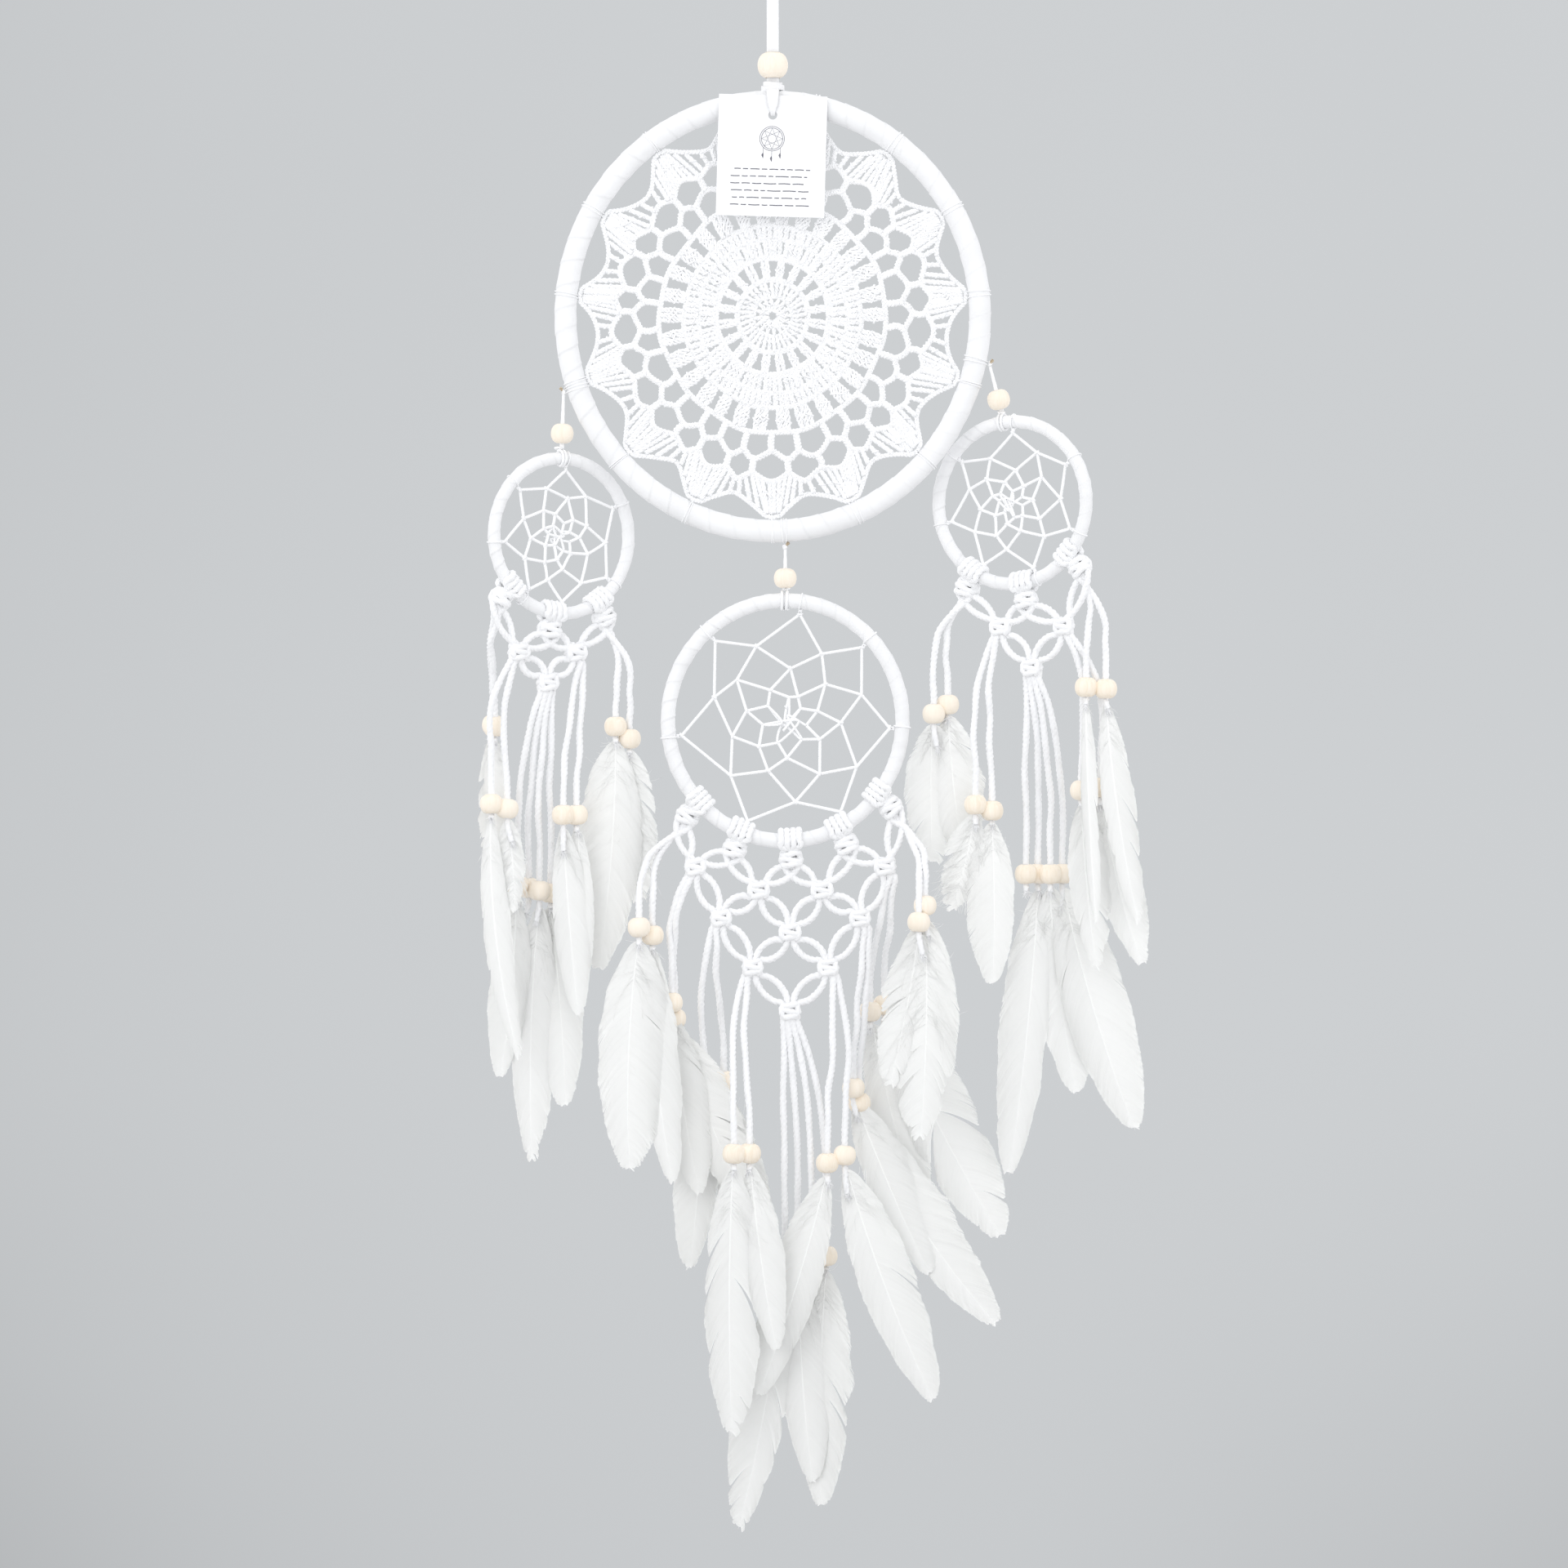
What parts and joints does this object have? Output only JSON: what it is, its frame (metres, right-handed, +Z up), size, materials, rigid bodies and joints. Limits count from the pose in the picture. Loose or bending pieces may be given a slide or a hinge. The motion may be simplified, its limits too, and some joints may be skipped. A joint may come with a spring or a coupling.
{
  "type": "dream catcher",
  "caption": "Hanging dream catcher: cloth-wrapped hoop round a crocheted star, with smaller webbed hoops below it on beaded threads, macrame nets, wooden beads and white feathers.",
  "frame": {"origin": "the top of the hanging ribbon's loop, where a hook or nail holds it", "axes": "+Z up along the drop, +X to the right across the hoops, +Y away from the viewer, out of the back of the hoops"},
  "size_m": [0.3226, 0.0522, 0.7938],
  "materials": {
    "ribbon": "flat woven white ribbon",
    "wood_bead": "unvarnished pale maple, smooth",
    "hoop_wire": "plain wire, hidden inside the wrap",
    "wrap_cloth": "matt white cloth strip, wound on the slant",
    "cotton_yarn": "soft white cotton yarn, slightly fuzzy",
    "web_thread": "waxed white twisted thread",
    "card": "smooth white card with a grey printed panel",
    "feather": "white goose feather, soft sheen"
  },
  "bodies": {
    "root": {"hanging_ribbon": "ribbon", "ribbon_bead": "wood_bead", "main_hoop_core": "hoop_wire", "main_hoop_wrap": "wrap_cloth", "crochet_star": "cotton_yarn"},
    "tag": {"hang_tag": "card", "tag_tie": "ribbon"},
    "left_pendant": {"left_web_thread": "web_thread", "left_hanger_bead": "wood_bead", "left_hoop_core": "hoop_wire", "left_hoop_wrap": "wrap_cloth", "left_macrame": "cotton_yarn"},
    "left_ends_1": {"left_beads_1": "wood_bead", "left_feathers_1": "feather"},
    "left_ends_2": {"left_beads_2": "wood_bead", "left_feathers_2": "feather"},
    "left_ends_3": {"left_beads_3": "wood_bead", "left_feathers_3": "feather"},
    "left_ends_4": {"left_beads_4": "wood_bead", "left_feathers_4": "feather"},
    "left_ends_5": {"left_beads_5": "wood_bead", "left_feathers_5": "feather"},
    "centre_pendant": {"centre_web_thread": "web_thread", "centre_hanger_bead": "wood_bead", "centre_hoop_core": "hoop_wire", "centre_hoop_wrap": "wrap_cloth", "centre_macrame": "cotton_yarn"},
    "centre_ends_1": {"centre_beads_1": "wood_bead", "centre_feathers_1": "feather"},
    "centre_ends_2": {"centre_beads_2": "wood_bead", "centre_feathers_2": "feather"},
    "centre_ends_3": {"centre_beads_3": "wood_bead", "centre_feathers_3": "feather"},
    "centre_ends_4": {"centre_beads_4": "wood_bead", "centre_feathers_4": "feather"},
    "centre_ends_5": {"centre_beads_5": "wood_bead", "centre_feathers_5": "feather"},
    "centre_ends_6": {"centre_beads_6": "wood_bead", "centre_feathers_6": "feather"},
    "centre_ends_7": {"centre_beads_7": "wood_bead", "centre_feathers_7": "feather"},
    "centre_ends_8": {"centre_beads_8": "wood_bead", "centre_feathers_8": "feather"},
    "centre_ends_9": {"centre_beads_9": "wood_bead", "centre_feathers_9": "feather"},
    "right_pendant": {"right_web_thread": "web_thread", "right_hanger_bead": "wood_bead", "right_hoop_core": "hoop_wire", "right_hoop_wrap": "wrap_cloth", "right_macrame": "cotton_yarn"},
    "right_ends_1": {"right_beads_1": "wood_bead", "right_feathers_1": "feather"},
    "right_ends_2": {"right_beads_2": "wood_bead", "right_feathers_2": "feather"},
    "right_ends_3": {"right_beads_3": "wood_bead", "right_feathers_3": "feather"},
    "right_ends_4": {"right_beads_4": "wood_bead", "right_feathers_4": "feather"},
    "right_ends_5": {"right_beads_5": "wood_bead", "right_feathers_5": "feather"}
  },
  "joints": [
    {"name": "tag_swing", "type": "hinge", "parent": "root", "child": "tag", "pos_m": [0, -0.0015, -0.0777], "axis": [-1, 0, 0], "range_deg": [0, 60]},
    {"name": "left_pendant_swing", "type": "hinge", "parent": "root", "child": "left_pendant", "pos_m": [-0.10239, 0, -0.2268], "axis": [0, 1, 0], "range_deg": [0, 25]},
    {"name": "left_ends_1_swing", "type": "hinge", "parent": "left_pendant", "child": "left_ends_1", "pos_m": [-0.1368, 0.006, -0.3903], "axis": [0, 1, 0], "range_deg": [0, 12]},
    {"name": "left_ends_2_swing", "type": "hinge", "parent": "left_pendant", "child": "left_ends_2", "pos_m": [-0.1336, -0.008, -0.4297], "axis": [0, 1, 0], "range_deg": [0, 12]},
    {"name": "left_ends_3_swing", "type": "hinge", "parent": "left_pendant", "child": "left_ends_3", "pos_m": [-0.1174, 0.012, -0.4705], "axis": [0, 1, 0], "range_deg": [0, 10]},
    {"name": "left_ends_4_swing", "type": "hinge", "parent": "left_pendant", "child": "left_ends_4", "pos_m": [-0.0994, 0.002, -0.4339], "axis": [0, 1, 0], "range_deg": [0, 10]},
    {"name": "left_ends_5_swing", "type": "hinge", "parent": "left_pendant", "child": "left_ends_5", "pos_m": [-0.0739, 0.014, -0.3935], "axis": [0, 1, 0], "range_deg": [-12, 0]},
    {"name": "centre_pendant_swing", "type": "hinge", "parent": "root", "child": "centre_pendant", "pos_m": [0.0061, 0, -0.3026], "axis": [-1, 0, 0], "range_deg": [0, 40]},
    {"name": "centre_ends_1_swing", "type": "hinge", "parent": "centre_pendant", "child": "centre_ends_1", "pos_m": [-0.0621, -0.006, -0.4908], "axis": [0, 1, 0], "range_deg": [0, 12]},
    {"name": "centre_ends_2_swing", "type": "hinge", "parent": "centre_pendant", "child": "centre_ends_2", "pos_m": [-0.0489, 0.006, -0.53], "axis": [0, 1, 0], "range_deg": [0, 12]},
    {"name": "centre_ends_3_swing", "type": "hinge", "parent": "centre_pendant", "child": "centre_ends_3", "pos_m": [-0.0289, 0.018, -0.5658], "axis": [0, 1, 0], "range_deg": [0, 12]},
    {"name": "centre_ends_4_swing", "type": "hinge", "parent": "centre_pendant", "child": "centre_ends_4", "pos_m": [-0.0151, -0.018, -0.5988], "axis": [0, 1, 0], "range_deg": [0, 12]},
    {"name": "centre_ends_5_swing", "type": "hinge", "parent": "centre_pendant", "child": "centre_ends_5", "pos_m": [0.0159, 0.006, -0.654], "axis": [0, 1, 0], "range_deg": [-8, 8]},
    {"name": "centre_ends_6_swing", "type": "hinge", "parent": "centre_pendant", "child": "centre_ends_6", "pos_m": [0.0309, -0.006, -0.6022], "axis": [0, 1, 0], "range_deg": [-12, 0]},
    {"name": "centre_ends_7_swing", "type": "hinge", "parent": "centre_pendant", "child": "centre_ends_7", "pos_m": [0.0411, 0.006, -0.5716], "axis": [0, 1, 0], "range_deg": [-12, 0]},
    {"name": "centre_ends_8_swing", "type": "hinge", "parent": "centre_pendant", "child": "centre_ends_8", "pos_m": [0.0515, 0.018, -0.5292], "axis": [0, 1, 0], "range_deg": [-12, 0]},
    {"name": "centre_ends_9_swing", "type": "hinge", "parent": "centre_pendant", "child": "centre_ends_9", "pos_m": [0.0727, -0.018, -0.482], "axis": [0, 1, 0], "range_deg": [-12, 0]},
    {"name": "right_pendant_swing", "type": "hinge", "parent": "root", "child": "right_pendant", "pos_m": [0.10612, 0, -0.2132], "axis": [0, 1, 0], "range_deg": [-25, 0]},
    {"name": "right_ends_1_swing", "type": "hinge", "parent": "right_pendant", "child": "right_ends_1", "pos_m": [0.0826, 0.013, -0.382], "axis": [0, 1, 0], "range_deg": [0, 12]},
    {"name": "right_ends_2_swing", "type": "hinge", "parent": "right_pendant", "child": "right_ends_2", "pos_m": [0.1034, 0.002, -0.4304], "axis": [0, 1, 0], "range_deg": [0, 12]},
    {"name": "right_ends_3_swing", "type": "hinge", "parent": "right_pendant", "child": "right_ends_3", "pos_m": [0.1334, 0.012, -0.463], "axis": [0, 1, 0], "range_deg": [-10, 0]},
    {"name": "right_ends_4_swing", "type": "hinge", "parent": "right_pendant", "child": "right_ends_4", "pos_m": [0.1556, -0.004, -0.4212], "axis": [0, 1, 0], "range_deg": [-12, 0]},
    {"name": "right_ends_5_swing", "type": "hinge", "parent": "right_pendant", "child": "right_ends_5", "pos_m": [0.1576, -0.015, -0.372], "axis": [0, 1, 0], "range_deg": [-12, 0]}
  ]
}
